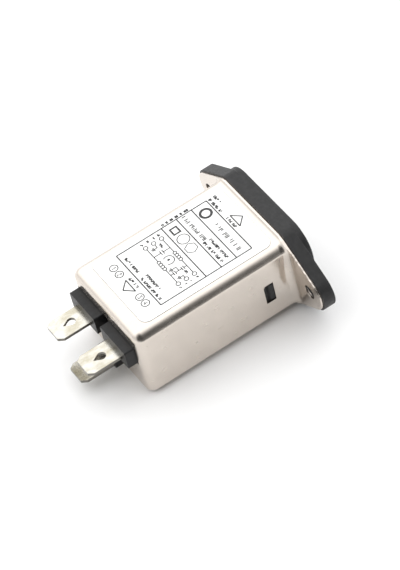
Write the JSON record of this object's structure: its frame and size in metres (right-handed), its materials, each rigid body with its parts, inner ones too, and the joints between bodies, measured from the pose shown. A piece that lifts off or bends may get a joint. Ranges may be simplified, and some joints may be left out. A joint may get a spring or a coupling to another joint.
{
  "type": "emi line filter",
  "caption": "Mains inlet line filter: drawn steel housing behind an eared screw flange with a moulded appliance socket, flat push-on tabs at the rear.",
  "frame": {"origin": "midway between the two screw holes, on the rear face of the metal flange, which seats on the panel", "axes": "+Y from the inlet towards the push-on tabs and along the screw holes, +Z towards the labelled side, +X along the ears"},
  "size_m": [0.05, 0.0556, 0.023],
  "materials": {
    "can_steel": "satin nickel plate",
    "inlet_plastic": "fine matt grain",
    "plated_brass": "nickel plate",
    "base_plastic": "satin",
    "tinned_brass": "bright tin plate, lightly scuffed",
    "ferrite": "coated",
    "divider_plastic": "satin",
    "enamelled_copper": "clear enamel over copper",
    "film_box": "satin",
    "disc_coat": "dipped epoxy",
    "tinned_wire": "tin plate",
    "lead_sleeve": "satin",
    "liner_sheet": "pressed fibre sheet",
    "label_film": "satin film"
  },
  "bodies": {
    "root": {"can": "can_steel", "inlet_body": "inlet_plastic", "line_pin": "plated_brass", "neutral_pin": "plated_brass", "earth_pin": "plated_brass", "terminal_base": "base_plastic", "line_tab": "tinned_brass", "neutral_tab": "tinned_brass", "earth_tab": "tinned_brass", "choke_core": "ferrite", "choke_divider": "divider_plastic", "line_winding": "enamelled_copper", "neutral_winding": "enamelled_copper", "x_capacitor": "film_box", "x_capacitor_leads": "tinned_wire", "line_y_capacitor": "disc_coat", "neutral_y_capacitor": "disc_coat", "line_y_leads": "tinned_wire", "neutral_y_leads": "tinned_wire", "earth_lead": "lead_sleeve", "earth_strap": "tinned_wire", "insulating_liner": "liner_sheet", "label": "label_film"}
  },
  "joints": []
}
